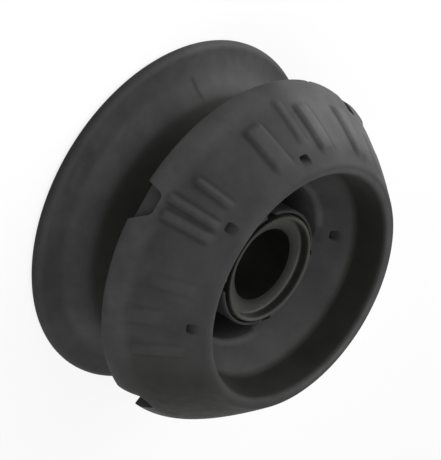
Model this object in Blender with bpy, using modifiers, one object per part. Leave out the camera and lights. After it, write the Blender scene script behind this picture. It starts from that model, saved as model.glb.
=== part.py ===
"""Front strut top mount: a rubber moulding bonded to a steel sleeve and a pressed steel ring.

The mount is turned about +Z and stands on the flat back of its flange, at z = 0. Above the
flange come the waist, which the body panel sits in, and the ribbed head, whose conical recess
opens upwards. All sizes are in metres and all azimuths in degrees, counted from +X towards +Y.
"""

import math
from typing import NamedTuple

import bmesh
import bpy

# Resolution of the turned shapes
TURN_STEPS = 64
ARC_STEPS = 4
HEAD_EDGE_STEPS = 3
FLANGE_EDGE_STEPS = 6
DOME_STEPS = 8
BELL_STEPS = 7
VOID_STEPS = 12

# Clearance between meshes that are bonded face to face
BOND_GAP = 0.0003

# Flange
FLANGE_RADIUS = 0.0550
FLANGE_EDGE = 0.0044
BACK_GROOVE_INNER = 0.0400
BACK_GROOVE_OUTER = 0.0460
BACK_GROOVE_DEPTH = 0.0015
BACK_POCKET_RADIUS = 0.0240
BACK_POCKET_DEPTH = 0.0030

# Waist
WAIST_RADIUS = 0.0392
BELL_THROAT_RADIUS = 0.0415
BELL_THROAT_HEIGHT = 0.0065
BELL_TOP = 0.0200
WAIST_FILLET = 0.0015

# Head
HEAD_SEAT = 0.0299
HEAD_RADIUS = 0.0539
HEAD_EDGE_ROUND = 0.0005
HEAD_SIDE = 0.0067

# Round nose between the dome and the recess
NOSE_CREST_RADIUS = 0.0373
NOSE_TOP = 0.0562
NOSE_ROUND = 0.0022

# Recess in the head; each drop is counted down from the nose's top
WALL_DRAFT = 11.7
WALL_FILLET = 0.0018
VALLEY_RADIUS = 0.0246
VALLEY_DROP = 0.0201
VALLEY_HEIGHT = NOSE_TOP - VALLEY_DROP
CONE_ANGLE = 48.6

# Steel sleeve
SLEEVE_RADIUS = 0.0169
SLEEVE_DROP = 0.0132
SLEEVE_TOP = NOSE_TOP - SLEEVE_DROP
SLEEVE_BORE_RADIUS = 0.0113
COUNTERBORE_RADIUS = 0.0156
COUNTERBORE_DEPTH = 0.0033
SLEEVE_CHAMFER = 0.0004

# Rubber collar round the sleeve
COLLAR_WALL = 0.0010
COLLAR_DROP = 0.0008
COLLAR_TOP = SLEEVE_TOP - COLLAR_DROP
COLLAR_GROOVE_WIDTH = 0.0006
COLLAR_GROOVE_DEPTH = 0.0022
COLLAR_SLOT_ANGLE = 11.0
COLLAR_SLOT_DEPTH = 0.0055

# Kidney voids beside the collar
VOID_OUTER_RADIUS = 0.0254
VOID_AZIMUTHS = (-5.0, 175.0)
VOID_SPAN = 106.0
VOID_FLOOR = 0.0140

# Pressed steel ring inside the head
RING_THICKNESS = 0.0020
RING_COVER = 0.0024
RING_INNER_RADIUS = 0.0289
RING_FLAT_DROP = 0.0098
RING_FLAT_HEIGHT = NOSE_TOP - RING_FLAT_DROP
RING_REACH = 0.656

# Holes left in the rubber by the pins that held the ring in the mould
PIN_LENGTH = 0.0038
PIN_WIDTH = 0.0021
HEAD_PIN_INSET = 0.0017
HEAD_PIN_AZIMUTHS = (-138.7, -95.7, -52.7, 41.3, 84.3, 127.3)
FLOOR_PIN_OVERLAP = 0.00125
FLOOR_PIN_AZIMUTHS = (-51.0, 129.0)

# Notches in the rear edge of the head
NOTCH_DEPTH = 0.0028

# Ribs on the head
RIB_ROOT = 0.0010
RIB_DRAFT = 0.0006
RIB_RUNOUT = 0.0015
RIB_STATIONS = 5


class Notch(NamedTuple):
    """A notch in the head's rear edge.

    It has the azimuth and width of its foot, the turn in degrees and width of its top, and its
    height.
    """

    azimuth: float
    foot: float
    turn: float
    top: float
    height: float


NOTCHES = (
    Notch(-164.5, 0.0034, 0.0, 0.0014, 0.0013),
    Notch(-88.0, 0.0124, -1.5, 0.0064, 0.0058),
    Notch(-13.5, 0.0132, 1.8, 0.0078, 0.0071),
    Notch(15.5, 0.0034, 0.0, 0.0014, 0.0013),
    Notch(92.0, 0.0124, -1.5, 0.0064, 0.0058),
    Notch(157.6, 0.0130, 2.4, 0.0070, 0.0101),
    Notch(177.0, 0.0056, 0.8, 0.0040, 0.0093),
)


class Rib(NamedTuple):
    """A raised rib.

    It has the azimuths of its foot and crown, its width and height, and the levels that it
    spans, as shares of the way from the head's rear edge up to its nose.
    """

    foot: float
    crown: float
    width: float
    height: float
    start: float
    stop: float


# One half of the head, which the other half repeats, turned by half a turn
RIBS = (
    Rib(-187.0, -190.5, 0.0040, 0.0005, 0.504, 0.944),
    Rib(-169.0, -174.5, 0.0050, 0.0009, 0.352, 0.944),
    Rib(-150.0, -152.6, 0.0048, 0.0008, 0.336, 0.904),
    Rib(-142.0, -142.4, 0.0024, 0.0005, 0.224, 0.768),
    Rib(-127.8, -128.8, 0.0056, 0.0006, 0.356, 0.892),
    Rib(-102.3, -102.6, 0.0018, 0.0006, 0.352, 0.800),
    Rib(-94.0, -94.2, 0.0022, 0.0008, 0.232, 0.816),
    Rib(-88.9, -89.1, 0.0026, 0.0007, 0.256, 0.824),
    Rib(-67.5, -68.2, 0.0030, 0.0003, 0.392, 0.872),
    Rib(-54.0, -55.0, 0.0042, 0.0004, 0.248, 0.632),
    Rib(-41.4, -42.0, 0.0030, 0.0004, 0.304, 0.856),
)

# Ribs on one side only, with a low pad between the last two notches
SINGLE_RIBS = (
    Rib(-25.6, -27.0, 0.0030, 0.0004, 0.392, 0.864),
    Rib(-16.6, -17.4, 0.0044, 0.0005, 0.408, 0.872),
    Rib(168.9, 167.8, 0.0066, 0.0006, 0.000, 0.272),
)

# A sunk flat beside the pad, as deep as a rib is high
FLATS = (Rib(164.2, 160.0, 0.0062, 0.0011, 0.000, 0.560),)


def arc(centre, radius, start, stop, steps=ARC_STEPS):
    """Points of an arc in the radius and height plane, from one angle to another."""
    angles = [math.radians(start + (stop - start) * i / steps) for i in range(steps + 1)]
    return [(centre[0] + radius * math.cos(a), centre[1] + radius * math.sin(a)) for a in angles]


def curve_point(p0, p1, p2, t):
    """Point of a quadratic curve at t, from 0 to 1."""
    weights = ((1 - t) ** 2, 2 * t * (1 - t), t * t)
    return tuple(sum(w * p[k] for w, p in zip(weights, (p0, p1, p2))) for k in (0, 1))


def curve(p0, p1, p2, steps):
    """Points of a quadratic curve that leaves p0 and reaches p2 along the lines to p1."""
    return [curve_point(p0, p1, p2, i / steps) for i in range(steps + 1)]


def nose_arc():
    """Round of the nose, from the top of the recess's wall over the crest to the dome."""
    centre = (NOSE_CREST_RADIUS, NOSE_TOP - NOSE_ROUND)
    out = HEAD_RADIUS - centre[0]
    down = centre[1] - (HEAD_SEAT + HEAD_EDGE_ROUND + HEAD_SIDE)
    lean = math.acos(NOSE_ROUND / math.hypot(out, down)) - math.atan2(down, out)
    return arc(centre, NOSE_ROUND, 180 - WALL_DRAFT, math.degrees(lean), 2 * ARC_STEPS)


def dome_control():
    """Control points of the head's outer curve, from its rear edge up to the nose."""
    foot = HEAD_SEAT + HEAD_EDGE_ROUND
    return (HEAD_RADIUS, foot), (HEAD_RADIUS, foot + HEAD_SIDE), nose_arc()[-1]


def dome_parameter(height):
    """Parameter of the head's outer curve at a height."""
    z0, z1, z2 = (p[1] for p in dome_control())
    a, b, c = z0 - 2 * z1 + z2, 2 * (z1 - z0), z0 - height
    return (-b + math.sqrt(b * b - 4 * a * c)) / (2 * a)


def head_level(share):
    """Height of a level on the head, at a share of the way from its rear edge to its nose."""
    low, _, high = (p[1] for p in dome_control())
    return low + (high - low) * share


def dome_point(height):
    """Radius at a height of the head, and the outward normal there as radial and axial parts."""
    t = dome_parameter(height)
    p0, p1, p2 = dome_control()
    radius = curve_point(p0, p1, p2, t)[0]
    dr, dz = ((1 - t) * (p1[k] - p0[k]) + t * (p2[k] - p1[k]) for k in (0, 1))
    length = math.hypot(dr, dz)
    return radius, (dz / length, -dr / length)


def cone_height(radius):
    """Height of the recess's conical floor at a radius."""
    return VALLEY_HEIGHT + (radius - VALLEY_RADIUS) * math.tan(math.radians(CONE_ANGLE))


def wall_fillet():
    """Arc that joins the recess's conical floor to its wall, from the floor up to the wall."""
    top_radius, top_height = nose_arc()[0]
    wall = math.tan(math.radians(90 - WALL_DRAFT))
    cone = math.tan(math.radians(CONE_ANGLE))
    floor_height = cone_height(top_radius)
    radius = top_radius - (top_height - floor_height) / (wall - cone)
    turn = 90 - WALL_DRAFT - CONE_ANGLE
    middle = math.radians(CONE_ANGLE + turn / 2)
    reach = WALL_FILLET / math.cos(math.radians(turn / 2))
    centre = (radius - reach * math.sin(middle), cone_height(radius) + reach * math.cos(middle))
    return arc(centre, WALL_FILLET, CONE_ANGLE - 90, -WALL_DRAFT)


def body_profile():
    """Section of the rubber body, from the nose's crest down its outer side and round."""
    edge = FLANGE_EDGE / 2
    head_edge = (HEAD_RADIUS - HEAD_EDGE_ROUND, HEAD_SEAT + HEAD_EDGE_ROUND)
    bore = SLEEVE_RADIUS + BOND_GAP
    groove = SLEEVE_RADIUS + COLLAR_GROOVE_WIDTH
    collar = groove + COLLAR_WALL
    points = curve(*reversed(dome_control()), DOME_STEPS)
    points += arc(head_edge, HEAD_EDGE_ROUND, 0, -90, HEAD_EDGE_STEPS)[1:]
    points += arc(
        (WAIST_RADIUS + WAIST_FILLET, HEAD_SEAT - WAIST_FILLET), WAIST_FILLET, 90, 180
    )
    points += curve(
        (WAIST_RADIUS, BELL_TOP),
        (BELL_THROAT_RADIUS, BELL_THROAT_HEIGHT),
        (FLANGE_RADIUS - edge, FLANGE_EDGE),
        BELL_STEPS,
    )
    points += arc((FLANGE_RADIUS - edge, edge), edge, 90, -90, FLANGE_EDGE_STEPS)[1:]
    points += [
        (BACK_GROOVE_OUTER, 0),
        (BACK_GROOVE_OUTER, BACK_GROOVE_DEPTH),
        (BACK_GROOVE_INNER, BACK_GROOVE_DEPTH),
        (BACK_GROOVE_INNER, 0),
        (BACK_POCKET_RADIUS, 0),
        (BACK_POCKET_RADIUS, BACK_POCKET_DEPTH),
        (bore, BACK_POCKET_DEPTH),
        (bore, COLLAR_TOP - COLLAR_GROOVE_DEPTH),
        (groove, COLLAR_TOP - COLLAR_GROOVE_DEPTH),
        (groove, COLLAR_TOP),
        (collar, COLLAR_TOP),
        (VALLEY_RADIUS, VALLEY_HEIGHT),
    ]
    return points + wall_fillet() + nose_arc()[:-1]


def sleeve_profile():
    """Section of the steel sleeve, from its top rim down its outer side and up its bore."""
    ledge = SLEEVE_TOP - COUNTERBORE_DEPTH
    c = SLEEVE_CHAMFER
    return [
        (SLEEVE_RADIUS - c, SLEEVE_TOP),
        (SLEEVE_RADIUS, SLEEVE_TOP - c),
        (SLEEVE_RADIUS, BACK_POCKET_DEPTH + c),
        (SLEEVE_RADIUS - c, BACK_POCKET_DEPTH),
        (SLEEVE_BORE_RADIUS + c, BACK_POCKET_DEPTH),
        (SLEEVE_BORE_RADIUS, BACK_POCKET_DEPTH + c),
        (SLEEVE_BORE_RADIUS, ledge - c),
        (SLEEVE_BORE_RADIUS + c, ledge),
        (COUNTERBORE_RADIUS, ledge),
        (COUNTERBORE_RADIUS, SLEEVE_TOP - c),
        (COUNTERBORE_RADIUS + c, SLEEVE_TOP),
    ]


def ring_depth():
    """Depth of the pressed ring's middle below the recess's conical floor, along Z."""
    return (RING_COVER + RING_THICKNESS / 2) / math.cos(math.radians(CONE_ANGLE))


def ring_radii():
    """Radius of the pressed ring's bend, and of its edge inside the head."""
    rise = RING_FLAT_HEIGHT - VALLEY_HEIGHT + ring_depth()
    bend = VALLEY_RADIUS + rise / math.tan(math.radians(CONE_ANGLE))
    side = dome_point(RING_FLAT_HEIGHT + RING_THICKNESS / 2)[0]
    return bend, bend + (side - bend) * RING_REACH


def ring_profile(grow=0.0):
    """Section of the pressed ring, with every face moved out by grow."""
    angle = math.radians(CONE_ANGLE)
    along, across = math.cos(angle), math.sin(angle)
    half = RING_THICKNESS / 2 + grow
    bend_radius, outer_radius = ring_radii()
    foot_radius = RING_INNER_RADIUS - grow * along
    foot_height = cone_height(foot_radius) - ring_depth()
    mitre = half * math.tan(angle / 2)
    return [
        (bend_radius - mitre, RING_FLAT_HEIGHT + half),
        (outer_radius + grow, RING_FLAT_HEIGHT + half),
        (outer_radius + grow, RING_FLAT_HEIGHT - half),
        (bend_radius + mitre, RING_FLAT_HEIGHT - half),
        (foot_radius + half * across, foot_height - half * along),
        (foot_radius - half * across, foot_height + half * along),
    ]


def finish_shading(mesh):
    """Shade a mesh smooth and keep its real edges sharp."""
    mesh.shade_smooth()
    mesh.set_sharp_from_angle(angle=math.radians(28))


def add_object(name, mesh, collection, material=None):
    """Put a mesh into the scene as an object of a collection."""
    item = bpy.data.objects.new(name, mesh)
    collection.objects.link(item)
    if material:
        mesh.materials.append(material)
    return item


def turned(name, points, collection, material=None):
    """Object turned about Z from a closed section at +X that runs down its outer side."""
    mesh = bpy.data.meshes.new(name)
    edges = [(i, (i + 1) % len(points)) for i in range(len(points))]
    mesh.from_pydata([(r, 0, z) for r, z in points], edges, [])
    item = add_object(name, mesh, collection, material)
    screw = item.modifiers.new("turn", "SCREW")
    screw.axis = "Z"
    screw.angle = 2 * math.pi
    screw.steps = screw.render_steps = TURN_STEPS
    screw.use_merge_vertices = True
    screw.merge_threshold = 0.00001
    return item


def prism(bm, outline, bottom, top):
    """Add an upright prism with an outline of x and y points to a bmesh."""
    face = bm.faces.new([bm.verts.new((x, y, bottom)) for x, y in outline])
    lifted = bmesh.ops.extrude_face_region(bm, geom=[face])["geom"]
    verts = [v for v in lifted if isinstance(v, bmesh.types.BMVert)]
    bmesh.ops.translate(bm, vec=(0, 0, top - bottom), verts=verts)


def polar(radius, azimuth):
    """X and y of a point at a radius and an azimuth in degrees."""
    a = math.radians(azimuth)
    return radius * math.cos(a), radius * math.sin(a)


def tangent_box(radius, azimuth, width, depth):
    """Corners of a rectangle centred at a radius, width across and depth along the radius."""
    a = math.radians(azimuth)
    cos, sin = math.cos(a), math.sin(a)
    corners = ((-1, -1), (1, -1), (1, 1), (-1, 1))
    return [
        (
            (radius + i * depth / 2) * cos - j * width / 2 * sin,
            (radius + i * depth / 2) * sin + j * width / 2 * cos,
        )
        for i, j in corners
    ]


def kidney_outline(azimuth):
    """Outline of a kidney void with round ends, from the collar out to the valley."""
    inner = SLEEVE_RADIUS + COLLAR_GROOVE_WIDTH + COLLAR_WALL
    middle, half = (inner + VOID_OUTER_RADIUS) / 2, (VOID_OUTER_RADIUS - inner) / 2
    reach = VOID_SPAN / 2 - math.degrees(math.asin(half / middle))
    sweep = [azimuth - reach + 2 * reach * i / VOID_STEPS for i in range(VOID_STEPS + 1)]
    points = [polar(VOID_OUTER_RADIUS, a) for a in sweep]
    points += end_round(middle, half, azimuth + reach, 0, 180)
    points += [polar(inner, a) for a in reversed(sweep)]
    points += end_round(middle, half, azimuth - reach, 180, 360)
    return points


def end_round(middle, half, azimuth, start, stop):
    """Inner points of a round end, centred on the void's middle radius at an azimuth."""
    cx, cy = polar(middle, azimuth)
    steps = VOID_STEPS // 2
    turns = [azimuth + start + (stop - start) * i / steps for i in range(1, steps)]
    return [(cx + polar(half, a)[0], cy + polar(half, a)[1]) for a in turns]


def new_mesh(name, bm):
    """Turn a bmesh into a mesh with its faces pointing out."""
    bmesh.ops.recalc_face_normals(bm, faces=bm.faces)
    mesh = bpy.data.meshes.new(name)
    bm.to_mesh(mesh)
    bm.free()
    return mesh


def void_cutter(collection):
    """Kidney voids beside the collar."""
    bm = bmesh.new()
    for azimuth in VOID_AZIMUTHS:
        prism(bm, kidney_outline(azimuth), VOID_FLOOR, NOSE_TOP)
    return add_object("void_cutter", new_mesh("void_cutter", bm), collection)


def collar_slot_cutter(collection):
    """Short slots that part the collar from the webs at both ends of each void."""
    bm = bmesh.new()
    inner = SLEEVE_RADIUS + BOND_GAP / 2
    outer = SLEEVE_RADIUS + COLLAR_GROOVE_WIDTH + 2 * COLLAR_WALL
    middle = (inner + outer) / 2
    width = math.radians(COLLAR_SLOT_ANGLE) * middle
    for azimuth in VOID_AZIMUTHS:
        for side in (-1, 1):
            place = azimuth + side * (VOID_SPAN - COLLAR_SLOT_ANGLE) / 2
            outline = tangent_box(middle, place, width, outer - inner)
            prism(bm, outline, COLLAR_TOP - COLLAR_SLOT_DEPTH, NOSE_TOP)
    return add_object("collar_slot_cutter", new_mesh("collar_slot_cutter", bm), collection)


def pin_cutter(collection):
    """Pin holes that reach the ring from the top of the head and from the recess's floor."""
    bm = bmesh.new()
    head_pin_radius = ring_radii()[1] - HEAD_PIN_INSET
    for azimuth in HEAD_PIN_AZIMUTHS:
        outline = tangent_box(head_pin_radius, azimuth, PIN_LENGTH, PIN_WIDTH)
        prism(bm, outline, RING_FLAT_HEIGHT, NOSE_TOP)
    floor_pin_radius = RING_INNER_RADIUS + FLOOR_PIN_OVERLAP - PIN_WIDTH / 2
    for azimuth in FLOOR_PIN_AZIMUTHS:
        outline = tangent_box(floor_pin_radius, azimuth, PIN_LENGTH, PIN_WIDTH)
        prism(bm, outline, cone_height(floor_pin_radius) - ring_depth(), NOSE_TOP)
    return add_object("pin_cutter", new_mesh("pin_cutter", bm), collection)


def notch_cutter(collection):
    """Shallow notches that flare towards the rear edge of the head."""
    bm = bmesh.new()
    floor = HEAD_SEAT - HEAD_EDGE_ROUND / 2
    for notch in NOTCHES:
        foot = tangent_box(HEAD_RADIUS, notch.azimuth, notch.foot, 2 * NOTCH_DEPTH)
        top = tangent_box(HEAD_RADIUS, notch.azimuth + notch.turn, notch.top, 2 * NOTCH_DEPTH)
        lower = [bm.verts.new((x, y, floor)) for x, y in foot]
        upper = [bm.verts.new((x, y, HEAD_SEAT + notch.height)) for x, y in top]
        bm.faces.new(lower)
        bm.faces.new(upper)
        for i in range(4):
            j = (i + 1) % 4
            bm.faces.new((lower[i], lower[j], upper[j], upper[i]))
    return add_object("notch_cutter", new_mesh("notch_cutter", bm), collection)


def rib_section(bm, rib, turn, height, base, lift):
    """One cross-section of a rib: two root points at its base and two on its top."""
    start, stop = head_level(rib.start), head_level(rib.stop)
    share = (height - start) / (stop - start)
    azimuth = math.radians(rib.foot + (rib.crown - rib.foot) * share + turn)
    radius, (out, up) = dome_point(height)
    half = rib.width / 2
    root = half + RIB_DRAFT
    section = ((-root, base), (root, base), (half, lift), (-half, lift))
    verts = []
    for across, rise in section:
        r = radius + out * rise
        a = azimuth + across / radius
        verts.append(bm.verts.new((r * math.cos(a), r * math.sin(a), height + up * rise)))
    return verts


def add_rib(bm, rib, turn, side=1):
    """Loft one rib along the head's curve, with a short run-out at both ends.

    A side of 1 raises it from the head, and a side of -1 gives the cutter of a sunk flat.
    """
    start, stop = head_level(rib.start), head_level(rib.stop)
    step = (stop - start - 2 * RIB_RUNOUT) / (RIB_STATIONS - 1)
    base = -side * RIB_ROOT
    rings = [rib_section(bm, rib, turn, start, base, base / 4)]
    for i in range(RIB_STATIONS):
        height = start + RIB_RUNOUT + step * i
        rings.append(rib_section(bm, rib, turn, height, base, side * rib.height))
    rings.append(rib_section(bm, rib, turn, stop, base, base / 4))
    bm.faces.new(rings[0])
    bm.faces.new(rings[-1])
    for lower, upper in zip(rings, rings[1:]):
        for i in range(4):
            j = (i + 1) % 4
            bm.faces.new((lower[i], lower[j], upper[j], upper[i]))


def rib_adder(collection):
    """All ribs of the head."""
    bm = bmesh.new()
    for turn in (0, 180):
        for rib in RIBS:
            add_rib(bm, rib, turn)
    for rib in SINGLE_RIBS:
        add_rib(bm, rib, 0)
    return add_object("rib_adder", new_mesh("rib_adder", bm), collection)


def flat_cutter(collection):
    """Sunk flats of the head."""
    bm = bmesh.new()
    for flat in FLATS:
        add_rib(bm, flat, 0, side=-1)
    return add_object("flat_cutter", new_mesh("flat_cutter", bm), collection)


def combine(item, tool, operation):
    """Join or cut an object with a tool, which is hidden from renders."""
    tool.hide_render = True
    tool.display_type = "WIRE"
    boolean = item.modifiers.new(tool.name, "BOOLEAN")
    boolean.operation = operation
    boolean.solver = "EXACT"
    boolean.object = tool


def make_material(name, colour, roughness, metallic):
    """Principled material with one colour."""
    material = bpy.data.materials.new(name)
    material.use_nodes = True
    shader = material.node_tree.nodes["Principled BSDF"]
    shader.inputs["Base Color"].default_value = (*colour, 1)
    shader.inputs["Roughness"].default_value = roughness
    shader.inputs["Metallic"].default_value = metallic
    material.diffuse_color = (*colour, 1)
    return material


def new_collection(name):
    """Collection linked to the scene."""
    collection = bpy.data.collections.new(name)
    bpy.context.scene.collection.children.link(collection)
    return collection


def clear_scene():
    """Remove the objects that the file came with."""
    for item in list(bpy.data.objects):
        bpy.data.objects.remove(item)


def build():
    """Model the strut mount."""
    clear_scene()
    mount = new_collection("strut_mount")
    tools = new_collection("cutters")
    rubber = make_material("moulded_rubber", (0.020, 0.020, 0.019), 0.62, 0.0)
    phosphated = make_material("phosphated_steel", (0.045, 0.045, 0.043), 0.45, 0.6)
    pressed = make_material("pressed_steel", (0.030, 0.030, 0.030), 0.50, 0.6)

    body = turned("rubber_body", body_profile(), mount, rubber)
    combine(body, rib_adder(tools), "UNION")
    for cutter in (flat_cutter, notch_cutter, void_cutter, collar_slot_cutter):
        combine(body, cutter(tools), "DIFFERENCE")
    combine(body, turned("ring_cutter", ring_profile(BOND_GAP), tools), "DIFFERENCE")
    combine(body, pin_cutter(tools), "DIFFERENCE")
    turned("inner_sleeve", sleeve_profile(), mount, phosphated)
    turned("head_ring", ring_profile(), mount, pressed)
    for item in mount.objects:
        finish_shading(item.data)


build()
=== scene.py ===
"""Looks of a rubber strut mount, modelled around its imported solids.

The mount stands on the back of its flange, at z = 0, with its axis along +Z. Sizes are in
metres and azimuths in degrees, counted from +X towards +Y. The rubber moulding and the steel
sleeve are modelled again here with the fine ribs, soft edges and lips that the solids keep
plain, and the pressed ring inside the head is the solid itself with a better finish.
"""

import logging
import math
from collections.abc import Callable
from dataclasses import dataclass
from enum import Enum
from typing import NamedTuple

import bmesh
import bpy
import numpy as np
from mathutils import Matrix, Vector


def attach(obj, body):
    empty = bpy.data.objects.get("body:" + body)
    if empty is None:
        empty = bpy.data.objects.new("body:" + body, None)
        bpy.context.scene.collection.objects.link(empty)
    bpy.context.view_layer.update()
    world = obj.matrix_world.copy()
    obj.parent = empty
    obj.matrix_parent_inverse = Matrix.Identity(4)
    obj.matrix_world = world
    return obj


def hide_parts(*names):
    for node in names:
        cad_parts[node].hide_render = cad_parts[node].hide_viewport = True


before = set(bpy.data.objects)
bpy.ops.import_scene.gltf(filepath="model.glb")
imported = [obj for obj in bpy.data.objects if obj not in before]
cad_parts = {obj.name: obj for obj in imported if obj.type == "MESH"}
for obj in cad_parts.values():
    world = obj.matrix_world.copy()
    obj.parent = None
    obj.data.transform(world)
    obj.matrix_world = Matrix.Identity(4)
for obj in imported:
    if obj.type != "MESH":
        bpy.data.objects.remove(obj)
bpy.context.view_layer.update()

log = logging.getLogger("strut_mount")

MM = 0.001
SHARP_ANGLE = 32.0

# Inputs and output of a Mix node that mixes colours, and the two inputs of a Mix Shader node
COLOUR_A, COLOUR_B, MIXED = 6, 7, 2
SHADER_A, SHADER_B = 1, 2

Point = tuple[float, float]
Ring = list[tuple[float, float, float]]


def linear(code: str) -> tuple[float, float, float, float]:
    """Turn an sRGB hex colour into the linear colour that Blender stores.

    Args:
        code: Colour such as "#3a3a38".

    Returns:
        Linear red, green and blue, and an alpha of 1.
    """
    parts = [int(code[i : i + 2], 16) / 255 for i in (1, 3, 5)]
    red, green, blue = (p / 12.92 if p <= 0.04045 else ((p + 0.055) / 1.055) ** 2.4 for p in parts)
    return red, green, blue, 1.0


def add_node(
    tree: bpy.types.NodeTree,
    kind: str,
    links: dict[str | int, bpy.types.NodeSocket] | None = None,
    values: dict[str | int, object] | None = None,
    **settings: object,
) -> bpy.types.Node:
    """Add one shader node with its settings, input values and links.

    Args:
        tree: Node tree of a material or a world.
        kind: Type of the node.
        links: Output socket for each input, by the input's name or number.
        values: Value for each input, by the input's name or number.
        settings: Properties of the node itself.

    Returns:
        The new node.
    """
    node = tree.nodes.new(kind)
    for name, value in settings.items():
        setattr(node, name, value)
    for name, value in (values or {}).items():
        node.inputs[name].default_value = value
    for name, socket in (links or {}).items():
        tree.links.new(socket, node.inputs[name])
    return node


def add_object(name: str, data: bpy.types.ID) -> bpy.types.Object:
    """Make an object and put it in the scene.

    Args:
        name: Name of the object.
        data: Its mesh, camera or light.

    Returns:
        The new object.
    """
    made = bpy.data.objects.new(name, data)
    bpy.context.scene.collection.objects.link(made)
    return made


def per_metre(millimetres: float) -> float:
    """Texture scale at which one cell of a pattern is this many millimetres wide."""
    return 1 / (millimetres * MM)


def new_material(name: str) -> tuple[bpy.types.Material, bpy.types.NodeTree, bpy.types.Node]:
    """Make an empty material with a Principled shader on its output.

    Args:
        name: Name of the material.

    Returns:
        The material, its node tree and its Principled node.
    """
    material = bpy.data.materials.new(name)
    material.use_nodes = True
    tree = material.node_tree
    tree.nodes.clear()
    shader = add_node(tree, "ShaderNodeBsdfPrincipled")
    add_node(tree, "ShaderNodeOutputMaterial", links={"Surface": shader.outputs["BSDF"]})
    return material, tree, shader


@dataclass(frozen=True)
class MouldedRubber:
    """Natural rubber filled with carbon black, moulded in a blasted steel mould.

    It gives a matt black that the mould's grain scatters, with a slightly paler waxy haze in soft
    patches and no sharp highlight anywhere. Rib crests are painted a little paler, partly as wear
    and partly as a painted highlight, and painted shade beside the ribs' feet keeps only a share of
    the colour there. Zones of painted light and shade lie on top, and the power called olive takes
    blue out where that painted shade darkens the rubber.
    """

    name: str = "moulded_rubber"
    dark: str = "#2d2d2d"
    light: str = "#393939"
    # Paler colour of the rib crests, partly wear and partly a painted highlight
    wear_and_highlight: str = "#404040"
    # Share of the colour kept where painted shade lies beside the ribs' feet
    foot_shade_level: float = 0.25
    specular: float = 0.12
    olive: float = 1.15
    roughness_low: float = 0.58
    roughness_high: float = 0.72
    bloom_mm: float = 9.0
    smudge_mm: float = 2.6
    grain_mm: float = 0.55
    wave_mm: float = 7.0

    def material(self) -> bpy.types.Material:
        """Build the material.

        Returns:
            The finished material.
        """
        material, tree, shader = new_material(self.name)
        place = add_node(tree, "ShaderNodeTexCoord").outputs["Object"]

        # The bloom of waxes in the rubber lies in patches about as wide as a fingertip. The
        # mould's blasted grain is about 0.1 mm, too fine to show, so it is drawn coarser.
        bloom_and_painted_light, smudge, grain, wave = (
            add_node(
                tree,
                "ShaderNodeTexNoise",
                links={"Vector": place},
                values={"Scale": per_metre(size), "Detail": detail, "Roughness": rough},
            ).outputs["Fac"]
            for size, detail, rough in (
                (self.bloom_mm, 3.0, 0.55),
                (self.smudge_mm, 4.0, 0.6),
                (self.grain_mm, 2.0, 0.6),
                (self.wave_mm, 1.0, 0.5),
            )
        )
        patches = add_node(
            tree,
            "ShaderNodeMix",
            links={"A": bloom_and_painted_light, "B": smudge},
            values={"Factor": 0.35},
            data_type="FLOAT",
        )
        spread = add_node(
            tree,
            "ShaderNodeMapRange",
            links={"Value": patches.outputs["Result"]},
            values={"From Min": 0.34, "From Max": 0.66},
        )
        colour = add_node(
            tree,
            "ShaderNodeMix",
            links={"Factor": spread.outputs["Result"]},
            values={COLOUR_A: linear(self.dark), COLOUR_B: linear(self.light)},
            data_type="RGBA",
        )

        # Crests of ribs are painted a little paler, partly as rubbing wear where the mount lay
        # among others and partly as a painted highlight.
        crest = add_node(tree, "ShaderNodeAttribute", attribute_name="crest").outputs["Fac"]
        worn_and_lit = add_node(tree, "ShaderNodeMath", links={0: crest, 1: smudge}, operation="MULTIPLY")
        wear_and_highlight = add_node(
            tree,
            "ShaderNodeMix",
            links={"Factor": worn_and_lit.outputs["Value"], COLOUR_A: colour.outputs[MIXED]},
            values={COLOUR_B: linear(self.wear_and_highlight)},
            data_type="RGBA",
        )

        # Painted shade darkens the rubber along the feet of the ribs.
        feet = add_node(
            tree,
            "ShaderNodeMapRange",
            links={"Value": crest},
            values={"From Min": -1.0, "From Max": 0.0, "To Min": self.foot_shade_level, "To Max": 1.0},
        )
        foot_shaded = add_node(
            tree,
            "ShaderNodeMix",
            links={COLOUR_A: wear_and_highlight.outputs[MIXED], COLOUR_B: feet.outputs["Result"]},
            values={"Factor": 1.0},
            data_type="RGBA",
            blend_type="MULTIPLY",
        )

        # Painted light and shade: zones of the rubber are painted paler where light falls and
        # darker where shade falls, and where they are darker the black is tinted a little olive.
        film = add_node(tree, "ShaderNodeAttribute", attribute_name="bloom_and_painted_light").outputs["Fac"]
        blue = add_node(
            tree, "ShaderNodeMath", links={0: film}, values={1: self.olive}, operation="POWER"
        )
        least = add_node(
            tree, "ShaderNodeMath", links={0: blue.outputs["Value"], 1: film}, operation="MINIMUM"
        )
        tint = add_node(
            tree,
            "ShaderNodeCombineColor",
            links={"Red": film, "Green": film, "Blue": least.outputs["Value"]},
        )
        with_painted_light = add_node(
            tree,
            "ShaderNodeMix",
            links={COLOUR_A: foot_shaded.outputs[MIXED], COLOUR_B: tint.outputs["Color"]},
            values={"Factor": 1.0},
            data_type="RGBA",
            blend_type="MULTIPLY",
        )
        tree.links.new(with_painted_light.outputs[MIXED], shader.inputs["Base Color"])
        shader.inputs["Specular IOR Level"].default_value = self.specular

        roughness = add_node(
            tree,
            "ShaderNodeMapRange",
            links={"Value": smudge},
            values={
                "From Min": 0.3,
                "From Max": 0.7,
                "To Min": self.roughness_low,
                "To Max": self.roughness_high,
            },
        )
        tree.links.new(roughness.outputs["Result"], shader.inputs["Roughness"])
        fine = add_node(
            tree,
            "ShaderNodeBump",
            links={"Height": grain},
            values={"Strength": 0.35, "Distance": 0.05 * MM},
        )
        soft = add_node(
            tree,
            "ShaderNodeBump",
            links={"Height": wave, "Normal": fine.outputs["Normal"]},
            values={"Strength": 0.5, "Distance": 0.5 * MM},
        )
        tree.links.new(soft.outputs["Normal"], shader.inputs["Normal"])
        return material


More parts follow.
